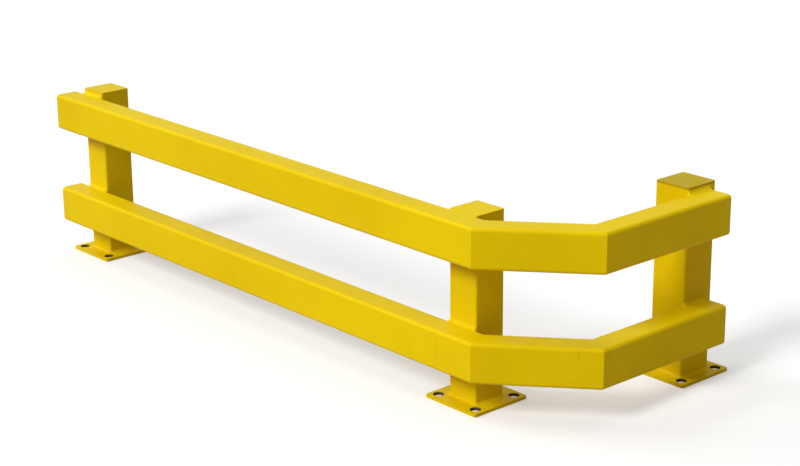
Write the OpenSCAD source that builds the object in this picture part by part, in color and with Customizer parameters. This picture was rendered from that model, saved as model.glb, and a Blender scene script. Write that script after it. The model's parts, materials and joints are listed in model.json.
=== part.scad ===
// Corner safety railing: two box-section rails that run straight, turn a mitred corner and
// return, welded to the front of three square posts on bolt-down base plates.
//
// The origin is on the floor at the centre of the corner post. The long run goes towards -X,
// the short return goes towards +Y, and +Z is up. The rails' outer faces look to -Y and +X.

/* [Layout] */
// Distance from the corner post's centre to the far post's centre
run_span = 1530; // [600:10:3000]
// Distance from the far post's centre to the end of the long rails
run_overhang = 85; // [65:5:300]
// Distance from the corner post's centre to the first mitre, on the outer face
mitre_offset = 100; // [95:5:300]
// Length of the slanted corner section along X, on the outer face
corner_x = 230; // [150:5:500]
// Length of the slanted corner section along Y, on the outer face
corner_y = 195; // [150:5:500]
// Length of the short return past the second mitre, on the outer face
return_length = 430; // [300:10:1500]
// Distance from the end of the return back to the end post's centre
return_overhang = 25; // [0:5:25]

/* [Rails] */
// Height of the rail section
rail_h = 100; // [60:1:150]
// Depth of the rail section, from front to back
rail_d = 70; // [40:1:100]
// Wall thickness of the rail section
rail_wall = 4; // [2:0.5:6]
// Outer corner radius of the rail section
rail_r = 9; // [7:0.5:15]
// Height of the lower rail's underside above the floor
rail_floor_gap = 95; // [60:1:300]
// Clear gap between the lower rail and the upper rail
rail_gap = 175; // [80:1:400]
// Thickness of the plates that close the rail ends
rail_cap_t = 4; // [2:0.5:8]

/* [Posts] */
// Width of the far post and the corner post
post_w = 90; // [70:1:110]
// Width of the end post, at the end of the return
end_post_w = 100; // [80:1:110]
// Wall thickness of the posts
post_wall = 5; // [3:0.5:8]
// Outer corner radius of the posts
post_r = 5; // [4:0.5:10]
// Thickness of the plates that close the posts
post_cap_t = 5; // [3:0.5:10]
// How far the far post and the end post stand above the upper rail, with their caps
post_rise = 15; // [12:1:100]

/* [Base plates] */
// How far the square base plates reach past the wider post on each side
plate_margin = 35; // [30:1:100]
// Thickness of each base plate
plate_t = 8; // [5:1:20]
// Corner radius of the base plates
plate_r = 5; // [1:0.5:8]
// Diameter of the anchor holes
hole_d = 26; // [12:1:27]
// How far the wider post's faces are from the centres of the holes beside them
hole_from_post = 13; // [13:1:15]

/* [Welds] */
// Leg of the weld round each post's foot
foot_weld = 6; // [3:0.5:6]
// Leg of the welds between the rails and the posts
rail_weld = 8; // [3:0.5:10]

/* [Hidden] */
$fn = 64;

powder_yellow = "gold";

lower_z = rail_floor_gap;
upper_z = lower_z + rail_h + rail_gap;
rail_top = upper_z + rail_h;
tall_post_top = rail_top + post_rise;

// Outer face of the rails in plan: far end, two mitres, end of the return
front_y = -post_w / 2 - rail_d;
far_x = -run_span - run_overhang;
mitre_1 = [mitre_offset, front_y];
mitre_2 = [mitre_offset + corner_x, front_y + corner_y];
return_end_y = mitre_2[1] + return_length;
corner_turn = atan2(corner_y, corner_x);
corner_length = norm(mitre_2 - mitre_1);
// Angles that halve each turn
mitre_1_turn = corner_turn / 2;
mitre_2_turn = (corner_turn + 90) / 2;

// Base plates, all of one size, and the holes' distance from the post's centre along X and Y
widest_post = max(post_w, end_post_w);
plate_w = widest_post + 2 * plate_margin;
hole_at = widest_post / 2 + hole_from_post;

far_post_at = [-run_span, 0];
corner_post_at = [0, 0];
end_post_at = [mitre_2[0] - rail_d - end_post_w / 2, return_end_y - return_overhang];

// Longer than any rail reaches past its mitre
spare = 2 * rail_d;
// Smallest radius of a section's inner corners
sharp_r = 0.5;
// Where a weld's thin edges are cut off, from the tangent point of the round corner it fills
weld_trim = 2;

// Rectangle with rounded corners, from the origin to [w, h]
module rounded_rectangle(w, h, r) {
    translate([r, 0]) square([w - 2 * r, h]);
    translate([0, r]) square([w, h - 2 * r]);
    for (x = [r, w - r], y = [r, h - r]) translate([x, y]) circle(r = r);
}

// Closed outline of a box section with its hollow cut out. Where the wall is as thick as the
// outer radius, the inner corners are nearly sharp.
module box_section(w, h, r, wall) {
    inner_r = max(r - wall, sharp_r);
    difference() {
        rounded_rectangle(w, h, r);
        translate([wall, wall]) rounded_rectangle(w - 2 * wall, h - 2 * wall, inner_r);
    }
}

// Rail along X from x = 0, with its outer face on y = 0 and its underside on z = 0
module rail_tube(length) {
    rotate([90, 0, 90]) linear_extrude(length) box_section(rail_d, rail_h, rail_r, rail_wall);
}

// Plate that closes a rail end, flat on x = 0
module rail_end_plate() {
    rotate([90, 0, 90]) linear_extrude(rail_cap_t) rounded_rectangle(rail_d, rail_h, rail_r);
}

// Block that cuts a rail off past a mitre. Its near face is the mitre plane: upright, through
// point on the rails' outer face, and turned by turn from square to the long run.
module past_mitre(point, turn) {
    translate([point[0], point[1], -1]) rotate([0, 0, turn]) translate([0, -spare, 0])
        cube([corner_length + spare, 3 * spare, rail_h + 2]);
}

// Block that cuts a rail off before a mitre, on the other side of the same plane
module before_mitre(point, turn) {
    translate([point[0], point[1], -1]) rotate([0, 0, turn + 180]) translate([0, -2 * spare, 0])
        cube([corner_length + spare, 3 * spare, rail_h + 2]);
}

module run_rail(z) {
    color(powder_yellow) translate([0, 0, z]) difference() {
        translate([far_x + rail_cap_t, front_y, 0])
            rail_tube(mitre_1[0] - far_x - rail_cap_t + spare);
        past_mitre(mitre_1, mitre_1_turn);
    }
}

module corner_rail(z) {
    color(powder_yellow) translate([0, 0, z]) difference() {
        translate([mitre_1[0], mitre_1[1], 0]) rotate([0, 0, corner_turn])
            translate([-spare, 0, 0]) rail_tube(corner_length + 2 * spare);
        before_mitre(mitre_1, mitre_1_turn);
        past_mitre(mitre_2, mitre_2_turn);
    }
}

module return_rail(z) {
    color(powder_yellow) translate([0, 0, z]) difference() {
        translate([mitre_2[0], mitre_2[1] - spare, 0]) rotate([0, 0, 90])
            rail_tube(return_length + spare - rail_cap_t);
        before_mitre(mitre_2, mitre_2_turn);
    }
}

module run_cap(z) {
    color(powder_yellow) translate([far_x, front_y, z]) rail_end_plate();
}

module return_cap(z) {
    color(powder_yellow) translate([mitre_2[0], return_end_y - rail_cap_t, z])
        rotate([0, 0, 90]) rail_end_plate();
}

module base_plate(at) {
    color(powder_yellow) translate([at[0], at[1], 0]) difference() {
        translate([-plate_w / 2, -plate_w / 2, 0])
            linear_extrude(plate_t) rounded_rectangle(plate_w, plate_w, plate_r);
        for (x = [-hole_at, hole_at], y = [-hole_at, hole_at])
            translate([x, y, -1]) cylinder(d = hole_d, h = plate_t + 2);
    }
}

module post(at, w, top) {
    color(powder_yellow) translate([at[0] - w / 2, at[1] - w / 2, plate_t])
        linear_extrude(top - post_cap_t - plate_t) box_section(w, w, post_r, post_wall);
}

module post_cap(at, w, top) {
    color(powder_yellow) translate([at[0] - w / 2, at[1] - w / 2, top - post_cap_t])
        linear_extrude(post_cap_t) rounded_rectangle(w, w, post_r);
}

// Fillet weld all round a post, on top of its base plate
module foot_weld_ring(at, w) {
    flat = w - 2 * post_r;
    color(powder_yellow) translate([at[0], at[1], plate_t])
        for (side = [0:3]) rotate([0, 0, 90 * side]) {
            translate([-flat / 2, w / 2, 0]) rotate([90, 0, 90]) linear_extrude(flat)
                polygon([[0, 0], [foot_weld, 0], [0, foot_weld]]);
            translate([flat / 2, flat / 2, 0]) rotate_extrude(angle = 90)
                translate([post_r, 0]) polygon([[0, 0], [foot_weld, 0], [0, foot_weld]]);
        }
}

// Section of a weld between a flat face on x = 0 and a round corner of radius r below y = 0
module weld_section(r, leg) {
    difference() {
        polygon([[0, weld_trim - r], [0, leg], [weld_trim - r, 0], [weld_trim - r, -1]]);
        translate([-r, -r]) circle(r = r);
    }
}

// Beads above and below a rail, from the start of the post's flat face on its -X side to x = reach.
// The post is w wide and at the origin, with the rail's back on its -Y face.
module rail_edge_beads(w, z, top_leg, reach) {
    start = post_r - w / 2;
    translate([start, -w / 2, z + rail_h]) rotate([90, 0, 90])
        linear_extrude(reach - start) weld_section(rail_r, top_leg);
    translate([start, -w / 2, z]) mirror([0, 0, 1]) rotate([90, 0, 90])
        linear_extrude(reach - start) weld_section(rail_r, rail_weld);
}

// Bead down the post's +X side, in the groove beside its round corner
module rail_side_bead(w, z) {
    translate([w / 2, -w / 2, z + rail_r]) rotate([0, 0, -90])
        linear_extrude(rail_h - 2 * rail_r) weld_section(post_r, rail_weld);
}

// Bead down the end of a rail that stops on the post's face, at x = reach
module rail_end_bead(w, z, reach) {
    translate([reach, -w / 2, z + rail_r]) linear_extrude(rail_h - 2 * rail_r)
        polygon([[0, 0], [rail_weld, 0], [0, -rail_weld]]);
}

// Beads where a long rail passes the far post or the corner post
module run_rail_welds(at, z, top_leg) {
    color(powder_yellow) translate([at[0], at[1], 0]) {
        rail_edge_beads(post_w, z, top_leg, post_w / 2 - post_r);
        rail_side_bead(post_w, z);
        mirror([1, 0, 0]) rail_side_bead(post_w, z);
    }
}

// Beads where a return rail ends on the end post
module return_rail_welds(z) {
    color(powder_yellow) translate([end_post_at[0], end_post_at[1], 0]) rotate([0, 0, 90]) {
        rail_edge_beads(end_post_w, z, rail_weld, return_overhang);
        mirror([1, 0, 0]) rail_side_bead(end_post_w, z);
        rail_end_bead(end_post_w, z, return_overhang);
    }
}

module far_base_plate() { base_plate(far_post_at); }
module corner_base_plate() { base_plate(corner_post_at); }
module end_base_plate() { base_plate(end_post_at); }
module far_post() { post(far_post_at, post_w, tall_post_top); }
module corner_post() { post(corner_post_at, post_w, rail_top); }
module end_post() { post(end_post_at, end_post_w, tall_post_top); }
module far_post_cap() { post_cap(far_post_at, post_w, tall_post_top); }
module corner_post_cap() { post_cap(corner_post_at, post_w, rail_top); }
module end_post_cap() { post_cap(end_post_at, end_post_w, tall_post_top); }
module far_foot_weld() { foot_weld_ring(far_post_at, post_w); }
module corner_foot_weld() { foot_weld_ring(corner_post_at, post_w); }
module end_foot_weld() { foot_weld_ring(end_post_at, end_post_w); }
module lower_run_rail() { run_rail(lower_z); }
module lower_corner_rail() { corner_rail(lower_z); }
module lower_return_rail() { return_rail(lower_z); }
module upper_run_rail() { run_rail(upper_z); }
module upper_corner_rail() { corner_rail(upper_z); }
module upper_return_rail() { return_rail(upper_z); }
module lower_run_cap() { run_cap(lower_z); }
module upper_run_cap() { run_cap(upper_z); }
module lower_return_cap() { return_cap(lower_z); }
module upper_return_cap() { return_cap(upper_z); }
module lower_far_weld() { run_rail_welds(far_post_at, lower_z, rail_weld); }
module upper_far_weld() { run_rail_welds(far_post_at, upper_z, rail_weld); }
module lower_corner_weld() { run_rail_welds(corner_post_at, lower_z, rail_weld); }
// The corner post's cap is level with the upper rail, so this bead is flush on top
module upper_corner_weld() { run_rail_welds(corner_post_at, upper_z, 0); }
module lower_end_weld() { return_rail_welds(lower_z); }
module upper_end_weld() { return_rail_welds(upper_z); }

far_base_plate();
corner_base_plate();
end_base_plate();
far_post();
corner_post();
end_post();
far_post_cap();
corner_post_cap();
end_post_cap();
far_foot_weld();
corner_foot_weld();
end_foot_weld();
lower_run_rail();
lower_corner_rail();
lower_return_rail();
upper_run_rail();
upper_corner_rail();
upper_return_rail();
lower_run_cap();
upper_run_cap();
lower_return_cap();
upper_return_cap();
lower_far_weld();
upper_far_weld();
lower_corner_weld();
upper_corner_weld();
lower_end_weld();
upper_end_weld();
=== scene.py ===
"""Looks of the corner safety railing: yellow powder coat, rippled welds and ground mitre seams.

Lengths are in metres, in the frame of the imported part. The long run goes towards -X, the short
return towards +Y, and the rails' outer faces look to -Y and +X.
"""

import json
import math

import bmesh
import bpy
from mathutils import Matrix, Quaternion, Vector, noise


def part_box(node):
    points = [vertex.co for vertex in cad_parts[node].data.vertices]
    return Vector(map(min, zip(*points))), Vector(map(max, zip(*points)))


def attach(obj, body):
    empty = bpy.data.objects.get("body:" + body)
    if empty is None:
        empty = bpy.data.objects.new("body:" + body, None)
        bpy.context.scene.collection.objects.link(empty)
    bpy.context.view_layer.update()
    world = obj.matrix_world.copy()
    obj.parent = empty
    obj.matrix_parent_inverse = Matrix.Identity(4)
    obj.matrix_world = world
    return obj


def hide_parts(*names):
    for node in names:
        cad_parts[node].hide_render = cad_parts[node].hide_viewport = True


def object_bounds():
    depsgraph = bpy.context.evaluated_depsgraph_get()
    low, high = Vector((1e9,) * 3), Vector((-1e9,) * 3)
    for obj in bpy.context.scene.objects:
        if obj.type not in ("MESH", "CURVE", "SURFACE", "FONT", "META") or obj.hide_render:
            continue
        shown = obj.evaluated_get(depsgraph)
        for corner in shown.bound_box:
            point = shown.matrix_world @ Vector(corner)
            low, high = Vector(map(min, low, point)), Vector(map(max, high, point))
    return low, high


MM = 0.001
POSTS = ("far", "corner", "end")
LEVELS = ("lower", "upper")

# Camera: the point it looks at, its distance from there, its heading, tilt and roll in degrees,
# and its focal length and film width in millimetres
AIM = Vector((-0.5825, 0.2797, 0.2109))
DISTANCE = 5.0315
AZIMUTH = 48.43
ELEVATION = 17.89
ROLL = -0.45
LENS = 85.57
FILM_WIDTH = 36

# Tone of two posts' caps against the rest
CAP_TONES = {"far_post_cap": 0.95, "end_post_cap": 0.62}
# Faint marks in the paint of two rails: centre, half sizes and strength
MARKS = {
    "lower_run_rail": [((-0.018, -0.115, 0.147), (0.0018, 0.004, 0.044), 0.22)],
    "lower_corner_rail": [
        ((0.2785, 0.0364, 0.112), (0.003, 0.003, 0.0015), 0.5),
        ((0.2246, -0.0094, 0.124), (0.003, 0.003, 0.0012), 0.4),
        ((0.2865, 0.0431, 0.178), (0.001, 0.003, 0.0125), 0.35),
    ],
}

# Strength of the soft light from all round
AMBIENT = 0.22
# Suns: the direction towards each, its width in degrees and its strength
SUNS = {
    "key_sun": ((0.04, -0.775, 0.62), 20, 2.10),
    "top_sun": ((0.0, 0.05, 1.0), 60, 0.55),
    "side_sun": ((-0.71, -0.31, 0.63), 30, 0.9),
}

# Radius of the outer corners of the rails, and of the posts
RAIL_RADIUS = 9 * MM
POST_RADIUS = 5 * MM
# How far a weld's mesh reaches into the steel it joins
SUNK = 0.4 * MM
# Length of one ripple along a weld, and its height
RIPPLE = 3.6 * MM
RIPPLE_HEIGHT = 0.35 * MM
# Step between the cross-sections of a weld's mesh, and the mesh steps over its face
WELD_STEP = 0.9 * MM
FOOT_FACE_STEPS = 6
RAIL_FACE_STEPS = 7
# Mesh steps round each corner of a rail's weld, and how square those corners are, 2 for a circle
CORNER_STEPS = 20
CORNER_POWER = 3.3
# How far a rail's weld runs over the rail and the post, as a part of its leg
SPILL = 0.2
# How hollow the welds' faces are: a foot's as a part of its leg, a rail's as a part of the way to its root
FOOT_HOLLOW = 0.112
RAIL_HOLLOW = 0.16
# Radius of the ground edges at the rails' ends, and the mesh steps round them
END_ROUND = 3.8 * MM
END_STEPS = 5
# Mesh steps round each corner of a rail's section, for the seams and the ends
OUTLINE_STEPS = 8
# Width of a ground mitre seam to each side of the joint and of its level part, and its height
SEAM_HALF_WIDTH = 2.2 * MM
SEAM_HALF_TOP = 1.21 * MM
SEAM_HEIGHT = 0.2 * MM
# How far the seam's edges and its root are sunk in the rails
SEAM_SUNK = 0.1 * MM
SEAM_ROOT = 0.8 * MM

# Linear colours of the powder coat: its usual tone, a warmer one and a paler one
YELLOW = (0.80, 0.585, 0.002, 1)
WARM_YELLOW = (0.74, 0.510, 0.001, 1)
PALE_YELLOW = (0.83, 0.620, 0.010, 1)
# Dust specks on the coat, its marks, the thin paint on sharp edges, and the walls of the anchor holes, dark
# brown for dirt on bare steel and as painted shade inside the holes
DUST = (0.45, 0.33, 0.04, 1)
STAIN = (0.50, 0.31, 0.003, 1)
THIN_PAINT = (0.36, 0.25, 0.012, 1)
HOLE_WALL_DIRT_AND_SHADE = (0.13, 0.085, 0.03, 1)
# Gloss of the powder coat, and its lowest and highest roughness
SPECULAR_LEVEL = 0.04
ROUGHNESS = (0.38, 0.50)
# Half the floor's width, and how far it lies below the part
FLOOR_HALF = 12.0
FLOOR_DROP = 0.3 * MM
# The floor as it looks, as it throws light up, and the glow that makes it show white
FLOOR_COLOUR = (0.72, 0.72, 0.72, 1)
FLOOR_BOUNCE = (0.52, 0.44, 0.36, 1)
FLOOR_GLOW = 0.33

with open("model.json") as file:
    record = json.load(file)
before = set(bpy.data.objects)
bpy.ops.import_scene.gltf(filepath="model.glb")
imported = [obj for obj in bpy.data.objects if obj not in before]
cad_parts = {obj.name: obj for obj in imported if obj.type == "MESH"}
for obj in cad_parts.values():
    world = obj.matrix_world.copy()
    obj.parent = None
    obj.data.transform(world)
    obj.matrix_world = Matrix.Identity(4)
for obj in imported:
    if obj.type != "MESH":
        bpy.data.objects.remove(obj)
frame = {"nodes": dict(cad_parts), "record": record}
cad_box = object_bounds()
nodes = frame["nodes"]


# ---------------------------------------------------------------- materials


def new_material(name):
    """An empty node material, with its node tree and its Principled shader."""
    material = bpy.data.materials.new(name)
    material.use_nodes = True
    tree = material.node_tree
    return material, tree, tree.nodes["Principled BSDF"]


def add(tree, kind, **settings):
    """A new node whose properties, or input sockets by name, are set from settings."""
    node = tree.nodes.new(kind)
    for key, value in settings.items():
        if hasattr(node, key):
            setattr(node, key, value)
        else:
            node.inputs[key.replace("_", " ")].default_value = value
    return node


def noise_node(tree, where, scale, detail=3.0, roughness=0.5):
    """Noise over the object's own coordinates, with scale in waves per metre."""
    made = add(tree, "ShaderNodeTexNoise", Scale=scale, Detail=detail, Roughness=roughness)
    tree.links.new(where, made.inputs["Vector"])
    return made.outputs["Fac"]


def spread(tree, value, low, high, to_low, to_high):
    """value mapped from low..high to to_low..to_high, and held at those ends."""
    made = add(tree, "ShaderNodeMapRange", clamp=True)
    for socket, number in zip(("From Min", "From Max", "To Min", "To Max"), (low, high, to_low, to_high)):
        made.inputs[socket].default_value = number
    tree.links.new(value, made.inputs["Value"])
    return made.outputs["Result"]


def mix_colours(tree, factor, first, second, blend="MIX"):
    """Colour mix of two colours or colour sockets by a factor or its socket."""
    made = add(tree, "ShaderNodeMix", data_type="RGBA", blend_type=blend)
    sockets = {"factor": made.inputs[0], "first": made.inputs[6], "second": made.inputs[7]}
    for key, value in (("factor", factor), ("first", first), ("second", second)):
        if isinstance(value, bpy.types.NodeSocket):
            tree.links.new(value, sockets[key])
        else:
            sockets[key].default_value = value
    return made.outputs[2]


def math_node(tree, operation, first, second=None):
    """Result of a math operation on sockets or numbers."""
    made = add(tree, "ShaderNodeMath", operation=operation)
    for socket, value in zip(made.inputs, (first, second)):
        if isinstance(value, bpy.types.NodeSocket):
            tree.links.new(value, socket)
        elif value is not None:
            socket.default_value = value
    return made.outputs[0]


def soft_box(tree, where, centre, half_sizes):
    """1 inside a box about centre and 0 outside it, with blurred sides."""
    blur = 3.0 * MM
    offset = add(tree, "ShaderNodeVectorMath", operation="SUBTRACT")
    tree.links.new(where, offset.inputs[0])
    offset.inputs[1].default_value = centre
    parts = add(tree, "ShaderNodeSeparateXYZ")
    tree.links.new(offset.outputs[0], parts.inputs[0])
    mask = 1.0
    for part, half in zip(parts.outputs, half_sizes):
        inside = spread(tree, math_node(tree, "ABSOLUTE", part), half - blur / 2, half + blur / 2, 1.0, 0.0)
        mask = math_node(tree, "MULTIPLY", mask, inside)
    return mask


def in_anchor_holes(tree, where, centre, reach, radius):
    """1 at the walls of four holes, reach from centre along X and Y, and 0 elsewhere."""
    parts = add(tree, "ShaderNodeSeparateXYZ")
    tree.links.new(where, parts.inputs[0])
    squares = []
    for part, middle in zip(parts.outputs, centre):
        aside = math_node(tree, "ABSOLUTE", math_node(tree, "SUBTRACT", part, middle))
        squares.append(math_node(tree, "POWER", math_node(tree, "SUBTRACT", aside, reach), 2.0))
    distance = math_node(tree, "SQRT", math_node(tree, "ADD", squares[0], squares[1]))
    return spread(tree, distance, radius + 0.1 * MM, radius + 0.9 * MM, 1.0, 0.0)


def cloudy_yellow(tree, where, tone, marks):
    """Colour of the paint: warm clouds, paler patches, specks of dust, and its marks."""
    warm = spread(tree, noise_node(tree, where, 3.1, detail=4.0), 0.38, 0.66, 0.0, 0.75)
    pale = spread(tree, noise_node(tree, where, 17.0), 0.50, 0.78, 0.0, 0.35)
    dust = spread(tree, noise_node(tree, where, 420.0, detail=2.0), 0.66, 0.80, 0.0, 0.10)
    colour = mix_colours(tree, warm, YELLOW, WARM_YELLOW)
    colour = mix_colours(tree, pale, colour, PALE_YELLOW)
    colour = mix_colours(tree, dust, colour, DUST)
    if tone != 1.0:
        colour = mix_colours(tree, 1.0, colour, (tone, tone, tone, 1), blend="MULTIPLY")
    for centre, half_sizes, strength in marks:
        stain = math_node(tree, "MULTIPLY", soft_box(tree, where, centre, half_sizes), strength)
        colour = mix_colours(tree, stain, colour, STAIN)
    return colour


def edge_sharpness(tree):
    """0 on smooth surfaces, and more where a sharp edge is near."""
    rounded = add(tree, "ShaderNodeBevel", samples=6, Radius=1.6 * MM)
    plain = add(tree, "ShaderNodeNewGeometry")
    along = add(tree, "ShaderNodeVectorMath", operation="DOT_PRODUCT")
    tree.links.new(rounded.outputs["Normal"], along.inputs[0])
    tree.links.new(plain.outputs["Normal"], along.inputs[1])
    return math_node(tree, "SUBTRACT", 1.0, along.outputs["Value"])


def worn_edges(tree, where, colour, wear):
    """The colour with thinner, browner paint on sharp edges, in ragged patches."""
    ragged = spread(tree, noise_node(tree, where, 160.0, detail=5.0), 0.35, 0.65, 0.2, 1.0)
    worn = math_node(tree, "MULTIPLY", spread(tree, edge_sharpness(tree), 0.04, 0.25, 0.0, wear), ragged)
    return mix_colours(tree, worn, colour, THIN_PAINT)


def peel_normal(tree, where, strength):
    """Surface direction of the fine orange peel and the slower waves of the paint."""
    peel = noise_node(tree, where, 330.0, detail=2.0, roughness=0.45)
    waves = noise_node(tree, where, 46.0, detail=2.0)
    height = math_node(tree, "ADD", peel, math_node(tree, "MULTIPLY", waves, 2.2))
    bump = add(tree, "ShaderNodeBump", Strength=0.22 * strength, Distance=0.6 * MM)
    tree.links.new(height, bump.inputs["Height"])
    return bump.outputs["Normal"]


def powder_coat(name, tone=1.0, orange_peel=1.0, wear=0.45, marks=(), holes=None):
    """Semi-gloss powder coat: cloudy yellow, fine orange peel, and thinner, browner paint on sharp edges.

    wear is how strongly the edges show. marks are (centre, half sizes, strength) boxes of slightly
    darker paint, and holes gives the centre, reach and radius of four holes whose walls are dark brown:
    dirt on bare steel, and painted shade inside the holes.
    """
    material, tree, shader = new_material(name)
    where = add(tree, "ShaderNodeTexCoord").outputs["Object"]
    colour = worn_edges(tree, where, cloudy_yellow(tree, where, tone, marks), wear)
    if holes:
        # The anchor holes' walls in dark brown: dirt on bare steel, and painted shade inside the holes
        colour = mix_colours(tree, in_anchor_holes(tree, where, *holes), colour, HOLE_WALL_DIRT_AND_SHADE)
    rough = spread(tree, noise_node(tree, where, 38.0, detail=5.0, roughness=0.6), 0.3, 0.7, *ROUGHNESS)
    tree.links.new(colour, shader.inputs["Base Color"])
    tree.links.new(rough, shader.inputs["Roughness"])
    tree.links.new(peel_normal(tree, where, orange_peel), shader.inputs["Normal"])
    shader.inputs["Specular IOR Level"].default_value = SPECULAR_LEVEL
    return material


def seen_directly(tree):
    """1 on rays from the camera, in reflections and through glass, and 0 on light's own way."""
    path = add(tree, "ShaderNodeLightPath").outputs
    reflected = math_node(tree, "MAXIMUM", path["Is Glossy Ray"], path["Is Transmission Ray"])
    return math_node(tree, "MAXIMUM", path["Is Camera Ray"], reflected)


def floor_material():
    """Matt floor that looks white, keeps the part's shadow, and throws less light up than it shows."""
    material, tree, shader = new_material("pale_floor")
    seen = seen_directly(tree)
    colour = mix_colours(tree, seen, FLOOR_BOUNCE, FLOOR_COLOUR)
    tree.links.new(colour, shader.inputs["Base Color"])
    shader.inputs["Roughness"].default_value = 0.9
    shader.inputs["Specular IOR Level"].default_value = 0.0
    glow = add(tree, "ShaderNodeEmission", Color=(1, 1, 1, 1))
    tree.links.new(math_node(tree, "MULTIPLY", seen, FLOOR_GLOW), glow.inputs["Strength"])
    both = add(tree, "ShaderNodeAddShader")
    tree.links.new(shader.outputs[0], both.inputs[0])
    tree.links.new(glow.outputs[0], both.inputs[1])
    tree.links.new(both.outputs[0], tree.nodes["Material Output"].inputs["Surface"])
    return material


# ------------------------------------------------------------------- welds


def dress(obj, material):
    """Gives an object its material."""
    obj.data.materials.clear()
    obj.data.materials.append(material)


def bevel_edges(obj, width):
    """Rounds the sharp edges of a CAD node with a modifier, which leaves its mesh as it is."""
    bevel = obj.modifiers.new("softened_edges", "BEVEL")
    bevel.width = width
    bevel.segments = 2
    bevel.limit_method = "ANGLE"
    bevel.angle_limit = math.radians(50)
    bevel.harden_normals = True


def ripple(distance):
    """Height of the overlapping ripples of a weld, 0 to 1, at a distance along it."""
    part = (distance / RIPPLE) % 1.0
    return math.sqrt(max(0.0, 1.0 - (2.0 * part - 1.0) ** 2)) * (1.0 - 0.35 * part)


def swell(travelled, leg, sway, swings, track):
    """Change of a weld's leg at a distance along it: a slow sway, as a part of the leg, and the ripples.

    swings sets how often the weld sways in a metre, and track tells one weld's sway from another's.
    """
    slow = noise.noise(Vector((travelled * swings, *track)))
    return leg * sway * slow + RIPPLE_HEIGHT * (ripple(travelled) - 0.5)


def even_parts(length):
    """Parts of a length, from 0 up to but without 1, about a weld step apart."""
    steps = round(length / WELD_STEP)
    return [i / steps for i in range(steps)]


def sweep(rings, closed):
    """Vertices and faces of a tube through rings of points, joined end to end or closed off by caps."""
    size = len(rings[0])
    vertices = [point for ring in rings for point in ring]
    faces = []
    pairs = len(rings) if closed else len(rings) - 1
    for i in range(pairs):
        here, there = i * size, ((i + 1) % len(rings)) * size
        for j in range(size):
            k = (j + 1) % size
            faces.append((here + j, here + k, there + k, there + j))
    if not closed:
        last = (len(rings) - 1) * size
        faces.append(tuple(range(size))[::-1])
        faces.append(tuple(range(last, last + size)))
    return vertices, faces


def make_piece(name, parts, material, *replaced):
    """One mesh object out of (vertices, faces) parts, which stands for the CAD nodes it replaces."""
    vertices, faces = [], []
    for part_vertices, part_faces in parts:
        start = len(vertices)
        vertices += part_vertices
        faces += [tuple(start + i for i in face) for face in part_faces]
    mesh = bpy.data.meshes.new(name)
    mesh.from_pydata(vertices, [], faces)
    solid = bmesh.new()
    solid.from_mesh(mesh)
    bmesh.ops.recalc_face_normals(solid, faces=solid.faces)
    solid.to_mesh(mesh)
    solid.free()
    mesh.shade_smooth()
    mesh.set_sharp_from_angle(angle=math.radians(60))
    piece = bpy.data.objects.new(name, mesh)
    bpy.context.scene.collection.objects.link(piece)
    dress(piece, material)
    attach(piece, "root")
    if replaced:
        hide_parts(*replaced)
    return piece


def rounded_square_path(centre, half, radius, z):
    """Points and outward directions round a square with round corners, a weld step apart."""
    path = []
    flat = half - radius
    middle = Vector((*centre, z))
    for side in range(4):
        turn = math.radians(90 * side)
        out = Vector((math.sin(turn), -math.cos(turn), 0))
        along = Vector((math.cos(turn), math.sin(turn), 0))
        for part in even_parts(2 * flat):
            path.append((middle + out * half + along * flat * (2 * part - 1), out))
        for part in even_parts(radius * math.pi / 2):
            angle = math.pi / 2 * part
            direction = out * math.cos(angle) + along * math.sin(angle)
            path.append((middle + (out + along) * flat + direction * radius, direction))
    return path


def fillet_ring(centre, half, z, leg, seed):
    """Rippled fillet weld round a post's foot, between its sides and the top of its base plate."""
    rings = []
    travelled = 0.0
    up = Vector((0, 0, 1))
    path = rounded_square_path(centre, half, POST_RADIUS, z)
    for i, (foot, out) in enumerate(path):
        travelled += (foot - path[i - 1][0]).length if i else 0.0
        size = leg + swell(travelled, leg, sway=0.12, swings=55, track=(seed, 0.0))
        ring = [foot - out * SUNK - up * SUNK]
        # From the plate up to the post, between a flat and a hollow face, with its toes sunk
        for j in range(FOOT_FACE_STEPS + 1):
            part = j / FOOT_FACE_STEPS
            hollow = FOOT_HOLLOW * size * math.sin(math.pi * part)
            outwards = size * (1 - part) - hollow if part < 1 else -SUNK
            upwards = size * part - hollow if part > 0 else -SUNK
            ring.append(foot + out * outwards + up * upwards)
        rings.append(ring)
    return sweep(rings, closed=True)


def full_corner(angle):
    """Sideways and upward parts of a radius at an angle, on a corner squarer than a circle."""
    aside, above = abs(math.sin(angle)), abs(math.cos(angle))
    size = (aside**CORNER_POWER + above**CORNER_POWER) ** (1 / CORNER_POWER)
    return aside / size, above / size


def curve_depth(radius, part):
    """How far a round corner has curved away, at a part of its radius along the face."""
    return radius * (1 - math.sqrt(max(0.0, 1 - part**2)))


def passing_toes(leg_v, leg_h, spill, angle):
    """Toes of a weld beside a post that the rail passes, as offsets from the joint's flat corner.

    Offsets are (sideways, up, forward) on the post and on the rail. Angle 0 is the weld above or
    below the rail, and a right angle the weld beside the post, with the round corner in between.
    """
    aside, above = full_corner(angle)
    post_back = -curve_depth(POST_RADIUS, aside) - spill * aside
    on_post = (POST_RADIUS * aside, (RAIL_RADIUS + leg_v) * above, post_back)
    rail_front = curve_depth(RAIL_RADIUS, above) + spill * above
    on_rail = ((POST_RADIUS + leg_h) * aside, RAIL_RADIUS * above, rail_front)
    return on_post, on_rail


def ending_toes(leg_v, leg_h, spill, angle):
    """The same offsets beside a rail that ends on the post's flat face."""
    aside, above = full_corner(angle)
    on_post = (leg_h * aside, (RAIL_RADIUS + leg_v) * above, 0)
    rail_front = curve_depth(RAIL_RADIUS, above) + spill * above + leg_h * aside
    on_rail = (0, RAIL_RADIUS * above, rail_front)
    return on_post, on_rail


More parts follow.
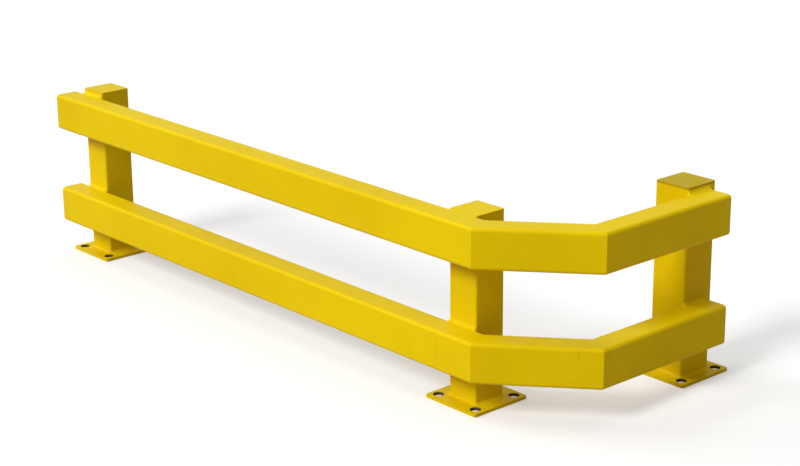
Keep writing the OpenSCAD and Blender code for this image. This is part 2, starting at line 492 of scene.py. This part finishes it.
def joint_stations(left, right, half_height):
    """Stations round a joint, clockwise from its top left: root (sideways, up), side, height and angle.

    left and right are how far the joint's flat corners are from the post's middle.
    """
    quarter = math.pi / 2
    turns = [quarter * i / CORNER_STEPS for i in range(CORNER_STEPS)]
    across = even_parts(left + right)
    down = even_parts(2 * half_height)
    stations = [((-left + (left + right) * t, half_height), 1, 1, 0.0) for t in across]
    stations += [((right, half_height), 1, 1, angle) for angle in turns]
    stations += [((right, half_height * (1 - 2 * t)), 1, 1, quarter) for t in down]
    stations += [((right, -half_height), 1, -1, quarter - angle) for angle in turns]
    stations += [((right - (left + right) * t, -half_height), -1, -1, 0.0) for t in across]
    stations += [((-left, -half_height), -1, -1, angle) for angle in turns]
    stations += [((-left, half_height * (2 * t - 1)), -1, -1, quarter) for t in down]
    stations += [((-left, half_height), -1, 1, quarter - angle) for angle in turns]
    return stations


def bead_face(start, end, heart):
    """Points over a hollow face between two toes. The toes are sunk a little, so that no slit shows."""
    points = []
    for j in range(RAIL_FACE_STEPS + 1):
        part = j / RAIL_FACE_STEPS
        face = start.lerp(end, part)
        hollow = RAIL_HOLLOW * math.sin(math.pi * part)
        sink = (heart - face).normalized() * SUNK if part in (0, 1) else Vector((0, 0, 0))
        points.append(face.lerp(heart, hollow) + sink)
    return points


def joint_bead(joint, sideways, forward, stations, top_leg, leg, right_ends, seed):
    """Rippled weld all round the place where a post's face meets a rail's back.

    right_ends says that the rail ends on the post's flat face at the right, instead of passing it.
    """
    up = Vector((0, 0, 1))

    def place(root, side, height, offset):
        aside, above = root[0] + side * offset[0], root[1] + height * offset[1]
        return joint + sideways * aside + up * above + forward * offset[2]

    rings = []
    travelled = 0.0
    last = None
    for root, side, height, angle in stations:
        toes = ending_toes if right_ends and side == 1 else passing_toes
        middle = place(root, side, height, toes(leg, leg, 0, angle)[0])
        travelled += (middle - last).length if last else 0.0
        last = middle
        change = swell(travelled, leg, sway=0.10, swings=60, track=(seed, 4.0))
        # Where the rail's top is level with the post's, the weld has no leg above the rail
        has_leg = height == -1 or top_leg > SUNK
        leg_v = (leg if height == -1 else top_leg) + (change if has_leg else 0.0)
        on_post, on_rail = toes(leg_v, leg + change, SPILL * leg + change, angle)
        start, end = place(root, side, height, on_post), place(root, side, height, on_rail)
        heart = place(root, side, height, (0, 0, 0))
        sunk_root = heart - sideways * side * SUNK * math.sin(angle) - up * height * SUNK * math.cos(angle)
        rings.append([sunk_root, *bead_face(start, end, heart)])
    return sweep(rings, closed=True)


def post_frame(name):
    """Plan centre and half width of a post, from its cap, which is as wide as the post."""
    low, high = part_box(f"{name}_post_cap")
    centre = (low + high) / 2
    return (centre.x, centre.y), (high.x - low.x) / 2


def make_foot_welds(material):
    """The weld round each post's foot."""
    for seed, name in enumerate(POSTS):
        centre, half = post_frame(name)
        plate_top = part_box(f"{name}_base_plate")[1].z
        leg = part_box(f"{name}_foot_weld")[1].x - centre[0] - half
        ring = fillet_ring(centre, half, plate_top, leg, seed)
        make_piece(f"{name}_foot_bead", [ring], material, f"{name}_foot_weld")


def make_rail_welds(material):
    """A weld all round each place where a rail meets a post."""
    for seed, name in enumerate(POSTS):
        centre, half = post_frame(name)
        at_end = name == "end"
        forward = Vector((1, 0, 0)) if at_end else Vector((0, -1, 0))
        sideways = Vector((0, 1, 0)) if at_end else Vector((1, 0, 0))
        for level in LEVELS:
            low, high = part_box(f"{level}_return_rail" if at_end else f"{level}_run_rail")
            node = f"{level}_{name}_weld"
            top_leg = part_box(node)[1].z - high.z
            leg = low.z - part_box(node)[0].z
            left = half - POST_RADIUS
            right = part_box(f"{level}_return_cap")[1].y - centre[1] if at_end else left
            joint = Vector((*centre, (low.z + high.z) / 2)) + forward * half
            stations = joint_stations(left, right, (high.z - low.z) / 2 - RAIL_RADIUS)
            number = 10 * seed + LEVELS.index(level)
            bead = joint_bead(joint, sideways, forward, stations, top_leg, leg, at_end, number)
            make_piece(f"{level}_{name}_bead", [bead], material, node)


def rail_outline(depth, height):
    """Points round a rail's section, as pairs of distance behind the outer face and height."""
    points = []
    r = RAIL_RADIUS
    centres = ((depth - r, r, -90), (depth - r, height - r, 0), (r, height - r, 90), (r, r, 180))
    for y, z, first in centres:
        for i in range(OUTLINE_STEPS + 1):
            angle = math.radians(first + 90 * i / OUTLINE_STEPS)
            points.append((y + r * math.cos(angle), z + r * math.sin(angle)))
    return points


def mitre_seam(corner, before, after, depth, low, height):
    """Weld seam round the section at a mitre, ground almost flush, over both rails' faces."""
    behind_before = Vector((-before.y, before.x, 0))
    behind_after = Vector((-after.y, after.x, 0))
    # Along the mitre plane, from the outer corner to the inner one, for each unit of depth
    inward = (behind_before + behind_after) / (1 + behind_before.dot(behind_after))
    outline = rail_outline(depth, height)
    middle = Vector((depth / 2, height / 2))
    rings = []
    for i, (y, z) in enumerate(outline):
        y_next, z_next = outline[(i + 1) % len(outline)]
        y_last, z_last = outline[i - 1]
        tangent = Vector((y_next - y_last, z_next - z_last)).normalized()
        out = Vector((tangent.y, -tangent.x))
        if out.dot(Vector((y, z)) - middle) < 0:
            out = -out
        foot = corner + inward * y + Vector((0, 0, low + z))
        normal_before = behind_before * out.x + Vector((0, 0, out.y))
        normal_after = behind_after * out.x + Vector((0, 0, out.y))
        ridge = inward * out.x + Vector((0, 0, out.y))
        ring = [
            foot - before * SEAM_HALF_WIDTH - normal_before * SEAM_SUNK,
            foot - before * SEAM_HALF_TOP + normal_before * SEAM_HEIGHT,
            foot + ridge * SEAM_HEIGHT,
            foot + after * SEAM_HALF_TOP + normal_after * SEAM_HEIGHT,
            foot + after * SEAM_HALF_WIDTH - normal_after * SEAM_SUNK,
            foot - ridge * SEAM_ROOT,
        ]
        rings.append(ring)
    return sweep(rings, closed=True)


def make_mitre_seams(material):
    """Two seams on each rail, where its slanted section meets the run and the return."""
    for level in LEVELS:
        run_low, run_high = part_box(f"{level}_run_rail")
        return_low, return_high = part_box(f"{level}_return_rail")
        depth = return_high.x - return_low.x
        low, height = run_low.z, run_high.z - run_low.z
        first = Vector((run_high.x, run_low.y, 0))
        corner_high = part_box(f"{level}_corner_rail")[1]
        second = Vector((corner_high.x, corner_high.y, 0))
        run_way, return_way = Vector((1, 0, 0)), Vector((0, 1, 0))
        slant = (second - first).normalized()
        parts = [
            mitre_seam(first, run_way, slant, depth, low, height),
            mitre_seam(second, slant, return_way, depth, low, height),
        ]
        make_piece(f"{level}_mitre_seams", parts, material)


def rail_end(end, outwards, behind, depth, thickness, height):
    """Plate that closes a rail, with its outer edge ground round. end is its outer face's front foot."""
    middle = Vector((depth / 2, height / 2))
    arc = [math.pi / 2 * i / END_STEPS for i in range(END_STEPS + 1)]
    layers = [(-thickness - SUNK, 0.0)]
    layers += [(END_ROUND * (math.sin(a) - 1), END_ROUND * (1 - math.cos(a))) for a in arc]
    rings = []
    for out, inset in layers:
        ring = []
        for y, z in rail_outline(depth, height):
            # Straight towards the middle line of the outline's own corner
            y += inset if y < middle.x else -inset
            z += inset if z < middle.y else -inset
            ring.append(end + outwards * out + behind * y + Vector((0, 0, z)))
        rings.append(ring)
    return sweep(rings, closed=False)


def make_rail_ends(material):
    """The closed ends of the run and of the return."""
    for level in LEVELS:
        low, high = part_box(f"{level}_run_cap")
        size = (high.y - low.y, high.x - low.x, high.z - low.z)
        part = rail_end(low, Vector((-1, 0, 0)), Vector((0, 1, 0)), *size)
        make_piece(f"{level}_run_end", [part], material, f"{level}_run_cap")
        low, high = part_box(f"{level}_return_cap")
        size = (high.x - low.x, high.y - low.y, high.z - low.z)
        part = rail_end(Vector((high.x, high.y, low.z)), Vector((0, 1, 0)), Vector((-1, 0, 0)), *size)
        make_piece(f"{level}_return_end", [part], material, f"{level}_return_cap")


# ---------------------------------------------------------------- the part


def plate_coat(name):
    """Coat of a base plate, with dark brown walls in its anchor holes: dirt on bare steel, and painted
    shade inside the holes.
    """
    holes = next(m for m in frame["record"]["mounts"] if m["name"] == f"{name}_anchor_holes")
    reach = holes["dims"]["spacing_x_mm"] / 2 * MM
    radius = holes["dims"]["hole_r_mm"] * MM
    return powder_coat(f"yellow_{name}_plate_coat", holes=(holes["pos_m"][:2], reach, radius))


def dress_frame():
    """Materials of the CAD nodes, and softened edges on the plates and caps."""
    coat = powder_coat("yellow_powder_coat")
    own = {name: powder_coat(f"yellow_{name}_coat", tone, wear=0.9) for name, tone in CAP_TONES.items()}
    own |= {name: powder_coat(f"yellow_{name}_coat", marks=marks) for name, marks in MARKS.items()}
    for name, obj in nodes.items():
        if name.endswith("base_plate"):
            dress(obj, plate_coat(name.removesuffix("_base_plate")))
            bevel_edges(obj, 1.0 * MM)
        else:
            dress(obj, own.get(name, coat))
        if name.endswith("post_cap"):
            bevel_edges(obj, 0.5 * MM)
    return coat


# ------------------------------------------------------------------- stage


def make_floor():
    """A large pale floor under the part."""
    mesh = bpy.data.meshes.new("floor")
    corners = [(x * FLOOR_HALF, y * FLOOR_HALF, 0) for x, y in ((-1, -1), (1, -1), (1, 1), (-1, 1))]
    mesh.from_pydata(corners, [], [(0, 1, 2, 3)])
    floor = bpy.data.objects.new("floor", mesh)
    bpy.context.scene.collection.objects.link(floor)
    floor.location.z = cad_box[0].z - FLOOR_DROP
    dress(floor, floor_material())


def make_world():
    """Soft light from all round, and white where the camera or a reflection sees past the floor."""
    world = bpy.data.worlds.new("studio")
    world.use_nodes = True
    tree = world.node_tree
    background = tree.nodes["Background"]
    background.inputs["Color"].default_value = (1, 1, 1, 1)
    strength = spread(tree, seen_directly(tree), 0.0, 1.0, AMBIENT, 1.0)
    tree.links.new(strength, background.inputs["Strength"])
    bpy.context.scene.world = world


def sun_lamp(name, towards, angle, strength):
    """A soft sun in the direction towards it, as wide as angle in degrees."""
    lamp = bpy.data.lights.new(name, "SUN")
    lamp.angle = math.radians(angle)
    lamp.energy = strength
    holder = bpy.data.objects.new(name, lamp)
    bpy.context.scene.collection.objects.link(holder)
    holder.rotation_euler = Vector(towards).to_track_quat("Z", "Y").to_euler()


def make_lamps():
    """A broad key light before the run's outer face, one overhead and one from the run's far end."""
    for name, (towards, angle, strength) in SUNS.items():
        sun_lamp(name, towards, angle, strength)


def make_camera():
    """The camera, at the distance and angles named at the top."""
    data = bpy.data.cameras.new("camera")
    data.lens = LENS
    data.sensor_width = FILM_WIDTH
    camera = bpy.data.objects.new("camera", data)
    bpy.context.scene.collection.objects.link(camera)
    heading, tilt = math.radians(AZIMUTH), math.radians(ELEVATION)
    back = Vector((math.sin(heading), -math.cos(heading), 0)) * math.cos(tilt)
    back.z = math.sin(tilt)
    camera.location = AIM + back * DISTANCE
    camera.rotation_mode = "QUATERNION"
    roll = Quaternion((0, 0, 1), math.radians(ROLL))
    camera.rotation_quaternion = (-back).to_track_quat("-Z", "Y") @ roll
    bpy.context.scene.camera = camera


coat = dress_frame()
weld_coat = powder_coat("yellow_weld_coat", orange_peel=0.6)
make_foot_welds(weld_coat)
make_rail_welds(weld_coat)
make_mitre_seams(coat)
make_rail_ends(coat)
make_floor()
make_world()
make_lamps()
make_camera()
bpy.context.scene.view_settings.view_transform = "Standard"
